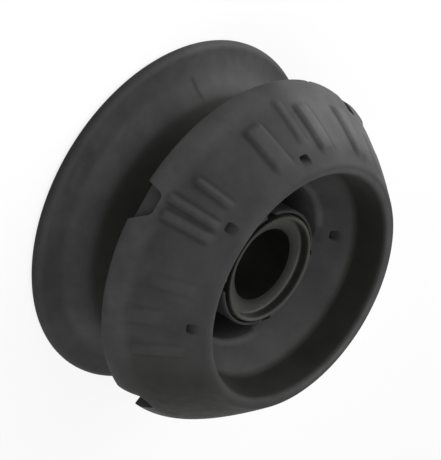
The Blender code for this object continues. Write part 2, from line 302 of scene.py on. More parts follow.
@dataclass(frozen=True)
class PhosphatedSteel:
    """Turned mild steel with a dark zinc phosphate coat under a film of bonding agent.

    The coat is a grey-black crust that dulls the metal and leaves the turning marks to
    be felt as fine rings.
    """

    name: str = "phosphated_steel"
    dark: str = "#3c3c38"
    light: str = "#51514c"
    metallic: float = 0.25
    specular: float = 0.2
    roughness_low: float = 0.42
    roughness_high: float = 0.58
    patch_mm: float = 3.0
    turning_mm: float = 0.45

    def material(self) -> bpy.types.Material:
        """Build the material.

        Returns:
            The finished material.
        """
        material, tree, shader = new_material(self.name)
        place = add_node(tree, "ShaderNodeTexCoord").outputs["Object"]
        patch = add_node(
            tree,
            "ShaderNodeTexNoise",
            links={"Vector": place},
            values={"Scale": per_metre(self.patch_mm), "Detail": 4.0, "Roughness": 0.65},
        )
        colour = add_node(
            tree,
            "ShaderNodeMix",
            links={"Factor": patch.outputs["Fac"]},
            values={COLOUR_A: linear(self.dark), COLOUR_B: linear(self.light)},
            data_type="RGBA",
        )

        # Painted shade darkens the bore, the ledge and the rim's edges, with a painted highlight on
        # one half of the rim.
        coat = add_node(tree, "ShaderNodeAttribute", attribute_name="coat").outputs["Fac"]
        sleeve_shaded = add_node(
            tree,
            "ShaderNodeMix",
            links={COLOUR_A: colour.outputs[MIXED], COLOUR_B: coat},
            values={"Factor": 1.0},
            data_type="RGBA",
            blend_type="MULTIPLY",
        )
        tree.links.new(sleeve_shaded.outputs[MIXED], shader.inputs["Base Color"])
        shader.inputs["Specular IOR Level"].default_value = self.specular
        roughness = add_node(
            tree,
            "ShaderNodeMapRange",
            links={"Value": patch.outputs["Fac"]},
            values={"To Min": self.roughness_low, "To Max": self.roughness_high},
        )
        tree.links.new(roughness.outputs["Result"], shader.inputs["Roughness"])
        shader.inputs["Metallic"].default_value = self.metallic

        # A turning feed is about 0.15 mm, too fine to show, so the rings are drawn wider.
        rings = add_node(
            tree,
            "ShaderNodeTexWave",
            links={"Vector": place},
            values={"Scale": per_metre(self.turning_mm) / 20, "Distortion": 0.4},
            wave_type="RINGS",
            rings_direction="Z",
        )
        bump = add_node(
            tree,
            "ShaderNodeBump",
            links={"Height": rings.outputs["Fac"]},
            values={"Strength": 0.3, "Distance": 0.03 * MM},
        )
        tree.links.new(bump.outputs["Normal"], shader.inputs["Normal"])
        return material


@dataclass(frozen=True)
class BondedPressing:
    """Pressed steel sheet under a black bonding coat, seen only down the pin holes."""

    name: str = "bonded_pressing"
    dark: str = "#262626"
    light: str = "#323230"
    metallic: float = 0.2
    roughness: float = 0.5
    patch_mm: float = 1.5

    def material(self) -> bpy.types.Material:
        """Build the material.

        Returns:
            The finished material.
        """
        material, tree, shader = new_material(self.name)
        place = add_node(tree, "ShaderNodeTexCoord").outputs["Object"]
        patch = add_node(
            tree,
            "ShaderNodeTexNoise",
            links={"Vector": place},
            values={"Scale": per_metre(self.patch_mm), "Detail": 3.0},
        )
        colour = add_node(
            tree,
            "ShaderNodeMix",
            links={"Factor": patch.outputs["Fac"]},
            values={COLOUR_A: linear(self.dark), COLOUR_B: linear(self.light)},
            data_type="RGBA",
        )
        tree.links.new(colour.outputs[MIXED], shader.inputs["Base Color"])
        shader.inputs["Metallic"].default_value = self.metallic
        shader.inputs["Roughness"].default_value = self.roughness
        return material


def arc(centre: Point, radius: float, start: float, stop: float, steps: int) -> list[Point]:
    """Points of an arc in the radius and height plane.

    Args:
        centre: Radius and height of the arc's centre.
        radius: Radius of the arc itself.
        start: First angle in degrees, counted from outwards to upwards.
        stop: Last angle in degrees.
        steps: Number of segments.

    Returns:
        Points from the first angle to the last.
    """
    turns = [math.radians(start + (stop - start) * i / steps) for i in range(steps + 1)]
    return [(centre[0] + radius * math.cos(t), centre[1] + radius * math.sin(t)) for t in turns]


def quadratic(p0: Point, p1: Point, p2: Point, t: float) -> Point:
    """Point of a quadratic curve at t, from 0 to 1.

    Args:
        p0: First control point.
        p1: Middle control point.
        p2: Last control point.
        t: Share of the way along the curve.

    Returns:
        The point.
    """
    weights = ((1 - t) ** 2, 2 * t * (1 - t), t * t)
    radius, height = (sum(w * p[k] for w, p in zip(weights, (p0, p1, p2))) for k in (0, 1))
    return radius, height


def line(start: Point, stop: Point, steps: int) -> list[Point]:
    """Points along a straight line, without its first point.

    Args:
        start: First end.
        stop: Last end.
        steps: Number of segments.

    Returns:
        The points after the first end.
    """
    shares = [(i + 1) / steps for i in range(steps)]
    return [
        (start[0] + (stop[0] - start[0]) * s, start[1] + (stop[1] - start[1]) * s) for s in shares
    ]


def rounded(before: Point, corner: Point, after: Point, radius: float, steps: int) -> list[Point]:
    """Round one corner of a section.

    Args:
        before: Point ahead of the corner.
        corner: The corner itself.
        after: Point behind the corner.
        radius: How far from the corner the round begins on both sides.
        steps: Number of segments of the round.

    Returns:
        Points of the round, from the side of before to the side of after.
    """
    ends = []
    for other in (before, after):
        away = (other[0] - corner[0], other[1] - corner[1])
        share = min(radius / math.hypot(*away), 0.5)
        ends.append((corner[0] + away[0] * share, corner[1] + away[1] * share))
    return [quadratic(ends[0], corner, ends[1], i / steps) for i in range(steps + 1)]


def polar(radius: float, azimuth: float) -> Point:
    """X and y of a point at a radius and an azimuth in degrees."""
    a = math.radians(azimuth)
    return radius * math.cos(a), radius * math.sin(a)


def smooth(x: np.ndarray) -> np.ndarray:
    """Ease from 0 to 1 as x goes from 0 to 1, flat beyond both."""
    x = np.clip(x, 0.0, 1.0)
    return x * x * (3 - 2 * x)


def over(outline: list[Point], surface: Callable[[float], float], lift: float) -> Ring:
    """Lay an outline on a turned surface.

    Args:
        outline: X and y of the outline's points.
        surface: Height of the surface at a radius.
        lift: Height of the outline over the surface, negative below it.

    Returns:
        The outline's points.
    """
    return [(x, y, surface(math.hypot(x, y)) + lift) for x, y in outline]


def turned_mesh(name: str, section: list[Point], counts: list[int]) -> bpy.types.Mesh:
    """Turn a closed section about Z, with its own number of steps for each of its points.

    Args:
        name: Name of the mesh.
        section: Radius and height of each point, running down the outer side.
        counts: Steps round the axis for each point, equal to its neighbour's, twice or half.

    Returns:
        A closed mesh with its faces pointing out.
    """
    points: Ring = []
    first = []
    for (radius, height), count in zip(section, counts):
        first.append(len(points))
        points += [(*polar(radius, 360 * j / count), height) for j in range(count)]
    faces = []
    for i, upper in enumerate(first):
        k = (i + 1) % len(section)
        lower, many, few = first[k], counts[i], counts[k]
        for j in range(min(many, few)):
            if many == few:
                a, b = j, (j + 1) % many
                faces.append((upper + a, lower + a, lower + b, upper + b))
            elif many > few:
                a, b, c = 2 * j, 2 * j + 1, (2 * j + 2) % many
                faces.append((upper + a, lower + j, lower + (j + 1) % few, upper + c, upper + b))
            else:
                a, b, c = 2 * j, 2 * j + 1, (2 * j + 2) % few
                faces.append((upper + j, lower + a, lower + b, lower + c, upper + (j + 1) % many))
    mesh = bpy.data.meshes.new(name)
    mesh.from_pydata(points, [], faces)
    return mesh


def loft(bm: bmesh.types.BMesh, rings: list[Ring]) -> None:
    """Add a closed loft through rings of equal length to a bmesh.

    Args:
        bm: Mesh that takes the loft.
        rings: Cross-sections in order, each with its points in the same order.
    """
    made = [[bm.verts.new(p) for p in ring] for ring in rings]
    bm.faces.new(made[0])
    bm.faces.new(made[-1])
    for lower, upper in zip(made, made[1:]):
        for i in range(len(lower)):
            j = (i + 1) % len(lower)
            bm.faces.new((lower[i], lower[j], upper[j], upper[i]))


def shade(mesh: bpy.types.Mesh, angle: float) -> None:
    """Shade a mesh smooth, with edges sharper than an angle in degrees kept sharp."""
    mesh.shade_smooth()
    mesh.set_sharp_from_angle(angle=math.radians(angle))


class Rib(NamedTuple):
    """A raised rib.

    It has the azimuths of its foot and crown, its width and height, and the levels that it
    spans, as shares of the way from the head's rear edge up to its nose.
    """

    foot: float
    crown: float
    width: float
    height: float
    start: float
    stop: float


class Notch(NamedTuple):
    """A notch in the head's rear edge.

    It has the azimuth and width of its foot, the turn in degrees and width of its top, and its
    height.
    """

    azimuth: float
    foot: float
    turn: float
    top: float
    height: float


class PaintedTone(NamedTuple):
    """A zone where a surface is painted paler or darker than elsewhere, mostly as painted light and
    shade.

    It has the azimuth, radius and height of its middle, each followed by its reach to both
    sides, and the factor by which it changes the colour.
    """

    azimuth: float
    turn: float
    radius: float
    across: float
    height: float
    along: float
    factor: float


def lay_painted_tones(mesh: bpy.types.Mesh, name: str, painted_tones: tuple[PaintedTone, ...]) -> None:
    """Keep the strength of the painted tones at each point of a mesh in an attribute.

    Args:
        mesh: Mesh of the piece.
        name: Name of the attribute.
        painted_tones: Zones painted paler or darker, where the strength differs from its plain 1.
    """
    places = np.empty(3 * len(mesh.vertices))
    mesh.vertices.foreach_get("co", places)
    x, y, height = places.reshape(-1, 3).T
    radius, azimuth = np.hypot(x, y), np.degrees(np.arctan2(y, x))
    strength = np.ones_like(radius)
    for film in painted_tones:
        turn = (azimuth - film.azimuth + 180) % 360 - 180
        away = (
            turn / film.turn,
            (radius - film.radius) / film.across,
            (height - film.height) / film.along,
        )
        share = np.prod([smooth(2 * (1 - np.abs(a))) for a in away], axis=0)
        strength *= 1 + (film.factor - 1) * share
    mesh.attributes.new(name, "FLOAT", "POINT").data.foreach_set("value", strength)


class Side(Enum):
    """The two sides of the pressed ring from which mould pins reached it."""

    HEAD = "head"
    FLOOR = "floor"


@dataclass(frozen=True)
class RubberMoulding:
    """The one-piece rubber body: flange, waist, ribbed head, recess, collar and voids."""

    piece: str = "rubber_moulding"
    node: str = "rubber_body"
    slot: str = "rubber"

    fine_steps: int = 960
    middle_steps: int = 480
    coarse_steps: int = 240
    nose_rows: int = 6
    dome_rows: int = 42
    edge_rows: int = 7
    bell_rows: int = 24
    void_side_steps: int = 30
    void_end_steps: int = 12

    flange_radius: float = 0.0550
    flange_edge: float = 0.0044
    groove_inner: float = 0.0400
    groove_outer: float = 0.0460
    groove_depth: float = 0.0015
    pocket_radius: float = 0.0240
    pocket_depth: float = 0.0030
    back_round: float = 0.0006

    waist_radius: float = 0.0392
    bell_throat: Point = (0.0415, 0.0065)
    bell_top: float = 0.0200
    waist_fillet: float = 0.0015

    head_seat: float = 0.0299
    head_radius: float = 0.0539
    head_edge: float = 0.0005
    head_side: float = 0.0067
    nose_crest: float = 0.0373
    nose_top: float = 0.0562
    nose_round: float = 0.0022

    wall_draft: float = 11.7
    wall_fillet: float = 0.0018
    valley: Point = (0.0246, 0.0361)
    cone_angle: float = 48.6

    sleeve_radius: float = 0.0169
    bond_gap: float = 0.0003
    collar_wall: float = 0.0010
    collar_top: float = 0.0422
    collar_groove: Point = (0.0006, 0.0022)
    collar_slot_angle: float = 11.0
    collar_slot_depth: float = 0.0055
    collar_round: float = 0.0003
    valley_round: float = 0.0008

    void_outer: float = 0.0254
    void_azimuths: tuple[float, ...] = (-5.0, 175.0)
    void_span: float = 106.0
    void_floor: float = 0.0140
    void_lip: float = 0.0006
    void_foot: Point = (0.0010, 0.0008)
    void_overshoot: float = 0.0003

    ring_thickness: float = 0.0020
    ring_cover: float = 0.0024
    ring_inner: float = 0.0289
    ring_flat: float = 0.0464
    ring_outer: float = 0.0428

    pin_length: float = 0.0029
    pin_width: float = 0.0016
    pin_lip: float = 0.0006
    pin_corner: float = 0.0006
    pin_overshoot: float = 0.0012
    head_pin_radius: float = 0.0411
    head_pin_azimuths: tuple[float, ...] = (-138.7, -95.7, -52.7, 41.3, 84.3, 127.3)
    floor_pin_radius: float = 0.0291
    floor_pin_azimuths: tuple[float, ...] = (-51.0, 129.0)

    notch_depth: float = 0.0028
    notch_corner: float = 0.0014
    notches: tuple[Notch, ...] = (
        Notch(-164.5, 0.0034, 0.0, 0.0014, 0.0013),
        Notch(-88.0, 0.0124, -1.5, 0.0064, 0.0058),
        Notch(-13.5, 0.0132, 1.8, 0.0078, 0.0071),
        Notch(15.5, 0.0034, 0.0, 0.0014, 0.0013),
        Notch(92.0, 0.0124, -1.5, 0.0064, 0.0058),
        Notch(157.6, 0.0130, 2.4, 0.0070, 0.0101),
        Notch(177.0, 0.0056, 0.8, 0.0040, 0.0093),
    )

    # Width of a rib's flanks and of the strip of painted shade beside them, and length of its ends
    rib_side: float = 0.0018
    rib_foot: float = 0.0011
    rib_end: float = 0.0018
    # Share by which a rib is rounded, and how high the hidden ribs stand as a share of the seen
    rib_crown: float = 0.25
    rib_repeat: float = 0.25
    # Azimuths between which the head is smooth
    low_end: Point = (-34.0, 34.0)
    ribs: tuple[Rib, ...] = (
        Rib(-187.0, -190.5, 0.0040, 0.0005, 0.504, 0.944),
        Rib(-169.0, -174.5, 0.0050, 0.0011, 0.352, 0.944),
        Rib(-150.0, -152.6, 0.0048, 0.0011, 0.336, 0.904),
        Rib(-142.0, -142.4, 0.0024, 0.0005, 0.224, 0.768),
        Rib(-127.8, -128.8, 0.0056, 0.0009, 0.356, 0.892),
        Rib(-102.3, -102.6, 0.0018, 0.0008, 0.352, 0.800),
        Rib(-93.4, -93.6, 0.0022, 0.0010, 0.232, 0.816),
        Rib(-88.2, -88.4, 0.0026, 0.0009, 0.256, 0.824),
        Rib(-67.5, -68.2, 0.0030, 0.0003, 0.392, 0.872),
        Rib(-54.0, -55.0, 0.0042, 0.0004, 0.248, 0.632),
        Rib(-41.4, -42.0, 0.0030, 0.0004, 0.304, 0.856),
    )
    single_ribs: tuple[Rib, ...] = (Rib(168.9, 167.8, 0.0066, 0.0006, -0.100, 0.272),)
    flats: tuple[Rib, ...] = (Rib(164.2, 160.0, 0.0062, 0.0011, -0.100, 0.560),)

    painted_tones: tuple[PaintedTone, ...] = (
        # Painted shade in the waist, then painted light on the belt of the flange beside it and on
        # the flange's two ends
        PaintedTone(0.0, 360.0, 0.0395, 0.0030, 0.0200, 0.0150, 0.3),
        PaintedTone(-60.0, 80.0, 0.0445, 0.0045, 0.0050, 0.0080, 1.45),
        PaintedTone(-5.0, 35.0, 0.0480, 0.0090, 0.0040, 0.0080, 1.35),
        PaintedTone(-168.0, 40.0, 0.0490, 0.0100, 0.0040, 0.0090, 1.6),
        # Head: painted light on the belt above the rear edge and on the ribbed stretch, then at the
        # low end a painted light strip and painted shade
        PaintedTone(-65.0, 90.0, 0.0530, 0.0080, 0.0325, 0.0070, 1.5),
        PaintedTone(-176.0, 36.0, 0.0500, 0.0120, 0.0400, 0.0150, 2.1),
        PaintedTone(-8.0, 14.0, 0.0525, 0.0060, 0.0345, 0.0030, 2.0),
        PaintedTone(0.0, 45.0, 0.0460, 0.0140, 0.0440, 0.0150, 0.5),
        # Nose: painted shade on its outer flank, then a painted highlight on its crest
        PaintedTone(95.0, 70.0, 0.0405, 0.0030, 0.0545, 0.0030, 0.3),
        PaintedTone(130.0, 110.0, 0.0366, 0.0010, 0.0560, 0.0015, 1.7),
        # Recess: painted shade on its wall, painted highlights on the lips of the two voids, then
        # painted shade in their depths and in the pin holes
        PaintedTone(78.0, 120.0, 0.0341, 0.0020, 0.0500, 0.0080, 0.3),
        PaintedTone(-5.0, 62.0, 0.0258, 0.0006, 0.0370, 0.0014, 2.0),
        PaintedTone(175.0, 62.0, 0.0258, 0.0006, 0.0370, 0.0014, 2.0),
        PaintedTone(-5.0, 80.0, 0.0225, 0.0060, 0.0148, 0.0060, 0.1),
        PaintedTone(175.0, 80.0, 0.0225, 0.0060, 0.0148, 0.0060, 0.1),
        PaintedTone(-51.0, 8.0, 0.0291, 0.0040, 0.0361, 0.0030, 0.1),
        PaintedTone(129.0, 8.0, 0.0291, 0.0040, 0.0361, 0.0030, 0.1),
        # Mould line on the flange, then two pin holes of the head painted paler
        PaintedTone(-139.6, 0.9, 0.0448, 0.0034, 0.0080, 0.0080, 0.4),
        PaintedTone(-95.7, 5.0, 0.0411, 0.0034, 0.0472, 0.0026, 1.7),
        PaintedTone(-52.7, 5.0, 0.0411, 0.0034, 0.0472, 0.0026, 1.7),
    )

    def nose(self) -> list[Point]:
        """Round of the nose, from the top of the recess's wall over the crest to the dome.

        Returns:
            Points of the round.
        """
        centre = (self.nose_crest, self.nose_top - self.nose_round)
        out = self.head_radius - centre[0]
        down = centre[1] - (self.head_seat + self.head_edge + self.head_side)
        lean = math.acos(self.nose_round / math.hypot(out, down)) - math.atan2(down, out)
        return arc(centre, self.nose_round, 180 - self.wall_draft, math.degrees(lean), 14)

    def dome_control(self) -> tuple[Point, Point, Point]:
        """Control points of the head's outer curve, from its rear edge up to the nose."""
        foot = self.head_seat + self.head_edge
        return (self.head_radius, foot), (self.head_radius, foot + self.head_side), self.nose()[-1]

    def dome(self) -> list[Point]:
        """Points of the head's outer curve, from the nose down to its rear edge.

        Returns:
            One point for each row of the dome, and one more.
        """
        p0, p1, p2 = self.dome_control()
        rows = self.dome_rows
        return [quadratic(p0, p1, p2, 1 - i / rows) for i in range(rows + 1)]

    def dome_height(self, radius: float) -> float:
        """Height of the head's outer curve at a radius."""
        points = self.dome()
        return float(np.interp(radius, [p[0] for p in points], [p[1] for p in points]))

    def cone_height(self, radius: float) -> float:
        """Height of the recess's floor at a radius, from the collar out to the wall.

        Args:
            radius: Distance from the axis.

        Returns:
            The height.
        """
        slope = math.tan(math.radians(self.cone_angle))
        if radius >= self.valley[0]:
            return self.valley[1] + (radius - self.valley[0]) * slope
        share = (self.valley[0] - radius) / (self.valley[0] - self.collar_outer())
        return self.valley[1] + (self.collar_top - self.valley[1]) * min(share, 1.0)

    def collar_outer(self) -> float:
        """Outer radius of the collar."""
        return self.sleeve_radius + self.collar_groove[0] + self.collar_wall

    def fillet(self) -> list[Point]:
        """Round between the recess's floor and its wall, from the floor up.

        Returns:
            Points of the round.
        """
        top_radius, top_height = self.nose()[0]
        wall = math.tan(math.radians(90 - self.wall_draft))
        cone = math.tan(math.radians(self.cone_angle))
        radius = top_radius - (top_height - self.cone_height(top_radius)) / (wall - cone)
        turn = 90 - self.wall_draft - self.cone_angle
        middle = math.radians(self.cone_angle + turn / 2)
        reach = self.wall_fillet / math.cos(math.radians(turn / 2))
        centre = (
            radius - reach * math.sin(middle),
            self.cone_height(radius) + reach * math.cos(middle),
        )
        return arc(centre, self.wall_fillet, self.cone_angle - 90, -self.wall_draft, 5)

    def outer_section(self) -> list[Point]:
        """Section from the head's rear edge down to the flange's back edge.

        Returns:
            Points of the head's underside, the waist, the bell and the flange's rim.
        """
        edge = self.flange_edge / 2
        head_centre = (self.head_radius - self.head_edge, self.head_seat + self.head_edge)
        waist_centre = (self.waist_radius + self.waist_fillet, self.head_seat - self.waist_fillet)
        bell = (
            (self.waist_radius, self.bell_top),
            self.bell_throat,
            (self.flange_radius - edge, self.flange_edge),
        )
        points = arc(head_centre, self.head_edge, 0, -90, 4)[1:]
        points += line(points[-1], (self.waist_radius + self.waist_fillet, self.head_seat), 4)[:-1]
        points += arc(waist_centre, self.waist_fillet, 90, 180, 6)
        points += [quadratic(*bell, i / self.bell_rows) for i in range(self.bell_rows + 1)]
        points += arc((self.flange_radius - edge, edge), edge, 75, -90, 11)
        return points

    def back_section(self) -> list[Point]:
        """Section of the flange's back, from its edge in to the bore.

        Returns:
            Points of the back, with its groove and its pocket.
        """
        bore = self.sleeve_radius + self.bond_gap
        corners = [
            (self.flange_radius - self.flange_edge / 2, 0.0),
            (self.groove_outer, 0.0),
            (self.groove_outer, self.groove_depth),
            (self.groove_inner, self.groove_depth),
            (self.groove_inner, 0.0),
            (self.pocket_radius, 0.0),
            (self.pocket_radius, self.pocket_depth),
            (bore, self.pocket_depth),
        ]
        points: list[Point] = []
        for before, corner, after in zip(corners, corners[1:], corners[2:]):
            points += rounded(before, corner, after, self.back_round, 3)
        return points + [corners[-1]]

    def inner_section(self) -> list[Point]:
        """Section of the bore, the collar with its groove, the recess's floor and its wall.

        Returns:
            Points from the flange's back up to the nose.
        """
        bore = self.sleeve_radius + self.bond_gap
        width, depth = self.collar_groove
        groove = self.sleeve_radius + width
        collar = self.collar_outer()
        top = self.collar_top
        corners = [
            (bore, top - depth),
            (groove, top - depth),
            (groove, top),
            (collar, top),
            self.valley,
        ]
        points = line((bore, self.pocket_depth), corners[0], 6) + [corners[1]]
        for before, corner, after in zip(corners[1:], corners[2:], corners[3:]):
            points += rounded(before, corner, after, self.collar_round, 3)
        start = line(points[-1], self.valley, 6)
        points += start[:-1]
        fillet = self.fillet()
        points += rounded(start[-2], self.valley, fillet[0], self.valley_round, 4)
        points += line(points[-1], fillet[0], 8)[:-1] + fillet
        points += line(fillet[-1], self.nose()[0], 6)[:-1]
        return points

    def form(self, rib: Rib, turn: float, azimuths: np.ndarray, place: Point) -> np.ndarray:
        """Cross-section of one rib at one level of the head.

        Args:
            rib: The rib.
            turn: Azimuth in degrees by which the rib is turned from its own place.
            azimuths: Azimuths in degrees.
            place: Radius of the head and height of the level.

        Returns:
            The rib's height at each azimuth.
        """
        low, _, high = (p[1] for p in self.dome_control())
        level = (place[1] - low) / (high - low)
        if not rib.start < level < rib.stop:
            return np.zeros_like(azimuths)
        ends = smooth(np.array((level - rib.start, rib.stop - level)) * (high - low) / self.rib_end)
        middle = rib.foot + (rib.crown - rib.foot) * (level - rib.start) / (rib.stop - rib.start)
        off = np.abs(np.radians((azimuths - middle - turn + 180) % 360 - 180)) * place[0]
        half = (rib.width + self.rib_side) / 2
        side = smooth((half - off) / self.rib_side) * (1 - self.rib_crown * (off / half) ** 2)
        return rib.height * side * ends.min()

    def foot_shade(self, azimuths: np.ndarray, place: Point) -> np.ndarray:
        """Strength of the painted shade along the feet of the ribs, at one level.

        Args:
            azimuths: Azimuths in degrees.
            place: Radius of the head and height of the level.

        Returns:
            The painted shade's strength from 0 to 1, for each azimuth.
        """
        most = np.zeros_like(azimuths)
        highest = max(rib.height for rib in self.ribs)
        for rib in self.ribs:
            wide = rib._replace(width=rib.width + 2 * self.rib_foot)
            foot = self.form(wide, 0, azimuths, place) - self.form(rib, 0, azimuths, place)
            most = np.maximum(most, foot / highest)
        return most

    def lift(self, azimuths: np.ndarray, place: Point) -> np.ndarray:
        """How far ribs raise the head, and flats lower it, at one level.

        Args:
            azimuths: Azimuths in degrees.
            place: Radius of the head and height of the level.

        Returns:
            The rise along the head's normal, for each azimuth.
        """
        rise = np.zeros_like(azimuths)
        for rib in self.ribs:
            for turn, share in ((0, 1.0), (180, self.rib_repeat)):
                rise = np.maximum(rise, share * self.form(rib, turn, azimuths, place))
        turned = (azimuths + 180) % 360 - 180
        rise[(turned > self.low_end[0]) & (turned < self.low_end[1])] = 0
        for rib in self.single_ribs:
            rise = np.maximum(rise, self.form(rib, 0, azimuths, place))
        for flat in self.flats:
            rise -= self.form(flat, 0, azimuths, place)
        return rise

    def raise_ribs(self, mesh: bpy.types.Mesh) -> None:
        """Raise the ribs on the head and keep each point's rise, less its painted shade at the
        ribs' feet.

        Args:
            mesh: Mesh of the turned moulding.
        """
        crest = mesh.attributes.new("crest", "FLOAT", "POINT")
        p0, p1, p2 = self.dome_control()
        azimuths = np.arange(self.fine_steps) * 360 / self.fine_steps
        highest = max(rib.height for rib in self.ribs)
        for row in range(self.dome_rows + 1):
            t = 1 - row / self.dome_rows
            radius, height = quadratic(p0, p1, p2, t)
            out, up = ((1 - t) * (p1[k] - p0[k]) + t * (p2[k] - p1[k]) for k in (1, 0))
            length = math.hypot(out, up)
            rise = self.lift(azimuths, (radius, height))
            foot_shade = self.foot_shade(azimuths, (radius, height))
            first = self.head_vertex(row)
            for j in np.flatnonzero(rise + foot_shade):
                vert = mesh.vertices[first + int(j)]
                r = radius + rise[j] * out / length
                vert.co = (*polar(r, azimuths[j]), height - rise[j] * up / length)
                # The crest attribute is paler on crests, partly wear and partly painted highlight,
                # and negative where painted shade lies beside the feet
                crest.data[first + int(j)].value = float(max(rise[j], 0.0) / highest - foot_shade[j])

    def head_vertex(self, row: int) -> int:
        """Index of a dome row's first point, past the nose's rows of both step counts."""
        ahead = len(self.nose()) - 1 - self.nose_rows + row
        return self.nose_rows * self.middle_steps + ahead * self.fine_steps

    def body(self) -> bpy.types.Object:
        """Turn the moulding's section and raise its ribs.

        Returns:
            The uncut moulding.
        """
        head = self.nose()[:-1] + self.dome()
        outer = self.outer_section()
        rest = self.back_section() + self.inner_section()
        section = head + outer + rest
        steps = [(self.nose_rows, self.middle_steps)]
        steps += [(len(head) + self.edge_rows, self.fine_steps)]
        steps += [(len(head) + 2 * self.edge_rows, self.middle_steps)]
        counts: list[int] = []
        for stop, count in steps + [(len(section), self.coarse_steps)]:
            counts += [count] * (stop - len(counts))
        mesh = turned_mesh(self.piece, section, counts)
        self.raise_ribs(mesh)
        return add_object(self.piece, mesh)

    def kidney(self, azimuth: float, grow: float) -> list[Point]:
        """Outline of a kidney void with round ends, grown by a distance.

        Args:
            azimuth: Azimuth of the void's middle.
            grow: Distance by which the outline moves out, all round.

        Returns:
            X and y of the outline's points.
        """
        inner = self.collar_outer()
        middle, half = (inner + self.void_outer) / 2, (self.void_outer - inner) / 2
        reach = self.void_span / 2 - math.degrees(math.asin(half / middle))
        half += grow
        sides, ends = self.void_side_steps, self.void_end_steps
        sweep = [azimuth - reach + 2 * reach * i / sides for i in range(sides + 1)]
        points = [polar(middle + half, a) for a in sweep]
        for end, start in ((reach, 0), (-reach, 180)):
            cx, cy = polar(middle, azimuth + end)
            turns = [azimuth + end + start + 180 * i / ends for i in range(1, ends)]
            points += [(cx + polar(half, t)[0], cy + polar(half, t)[1]) for t in turns]
            if start == 0:
                points += [polar(middle - half, a) for a in reversed(sweep)]
        return points

    def cut_voids(self, bm: bmesh.types.BMesh) -> None:
        """Add the voids' cutters, which flare into a round lip at the recess's floor.

        Args:
            bm: Mesh that takes the cutters.
        """
        inset, rise = self.void_foot
        for azimuth in self.void_azimuths:
            rings = [[(x, y, self.void_floor) for x, y in self.kidney(azimuth, -inset)]]
            rings += [[(x, y, self.void_floor + rise) for x, y in self.kidney(azimuth, 0.0)]]
            for turn in (0, 22.5, 45, 67.5):
                grow = self.void_lip * (1 - math.cos(math.radians(turn)))
                drop = self.void_lip * (1 - math.sin(math.radians(turn)))
                rings.append(over(self.kidney(azimuth, grow), self.cone_height, -drop))
            wide = self.kidney(azimuth, self.void_lip)
            rings.append(over(wide, self.cone_height, self.void_overshoot))
            rings.append([(x, y, self.nose_top) for x, y in wide])
            loft(bm, rings)

    def cut_collar_slots(self, bm: bmesh.types.BMesh) -> None:
        """Add the cutters of the short slots that part the collar at both ends of each void.

        Args:
            bm: Mesh that takes the cutters.
        """
        inner = self.sleeve_radius + self.bond_gap / 2
        outer = self.collar_outer() + self.collar_wall
        for azimuth in self.void_azimuths:
            for side in (-1, 1):
                place = azimuth + side * (self.void_span - self.collar_slot_angle) / 2
                sweep = [place + self.collar_slot_angle * (i / 6 - 0.5) for i in range(7)]
                outline = [polar(outer, a) for a in sweep] + [polar(inner, a) for a in sweep[::-1]]
                levels = (self.collar_top - self.collar_slot_depth, self.nose_top)
                loft(bm, [[(x, y, z) for x, y in outline] for z in levels])

    def pin_outline(self, radius: float, azimuth: float, grow: float) -> list[Point]:
        """Outline of a pin hole: a rectangle with round corners, grown by a distance.

        Args:
            radius: Distance of the hole's middle from the axis.
            azimuth: Azimuth of the hole's middle.
            grow: Distance by which the outline moves out, all round.

        Returns:
            X and y of the outline's points.
        """
        round_off = self.pin_corner + grow
        half_depth = self.pin_width / 2 - self.pin_corner
        half_width = self.pin_length / 2 - self.pin_corner
        points = []
        for start, u, v in ((0, 1, 1), (90, -1, 1), (180, -1, -1), (270, 1, -1)):
            for step in range(4):
                du, dv = polar(round_off, start + 30 * step)
                points.append((u * half_depth + du, v * half_width + dv))
        cos, sin = polar(1.0, azimuth)
        return [((radius + u) * cos - v * sin, (radius + u) * sin + v * cos) for u, v in points]

    def cut_pins(self, bm: bmesh.types.BMesh, side: Side) -> None:
        """Add the cutters of the pin holes on one side of the pressed ring.

        Args:
            bm: Mesh that takes the cutters.
            side: Side of the ring that the holes reach.
        """
        lean = math.cos(math.radians(self.cone_angle))
        if side is Side.HEAD:
            radius, azimuths = self.head_pin_radius, self.head_pin_azimuths
            surface, floor = self.dome_height, self.ring_flat
        else:
            radius, azimuths = self.floor_pin_radius, self.floor_pin_azimuths
            surface = self.cone_height
            floor = surface(radius) - (self.ring_cover + self.ring_thickness / 2) / lean
        for azimuth in azimuths:
            rings = [[(x, y, floor) for x, y in self.pin_outline(radius, azimuth, 0.0)]]
            for turn in (0, 30, 60):
                grow = self.pin_lip * (1 - math.cos(math.radians(turn)))
                drop = self.pin_lip * (1 - math.sin(math.radians(turn)))
                rings.append(over(self.pin_outline(radius, azimuth, grow), surface, -drop))
            wide = self.pin_outline(radius, azimuth, self.pin_lip)
            rings.append(over(wide, surface, self.pin_overshoot))
            loft(bm, rings)

    def cut_notches(self, bm: bmesh.types.BMesh) -> None:
        """Add the cutters of the notches in the head's rear edge.

        Args:
            bm: Mesh that takes the cutters.
        """
        floor = self.head_seat - self.head_edge / 2
        for notch in self.notches:
            shift = math.radians(notch.turn) * self.head_radius
            corners = [
                (-notch.foot / 2, floor),
                (shift - notch.top / 2, self.head_seat + notch.height),
                (shift + notch.top / 2, self.head_seat + notch.height),
                (notch.foot / 2, floor),
            ]
            outline = [corners[0]]
            outline += rounded(*corners[:3], self.notch_corner, 5)
            outline += rounded(*corners[1:], self.notch_corner, 5)
            outline.append(corners[3])
            cos, sin = polar(1.0, notch.azimuth)
            reach = (self.head_radius - self.notch_depth, self.head_radius + self.notch_depth)
            rings = [[(r * cos - a * sin, r * sin + a * cos, z) for a, z in outline] for r in reach]
            loft(bm, rings)

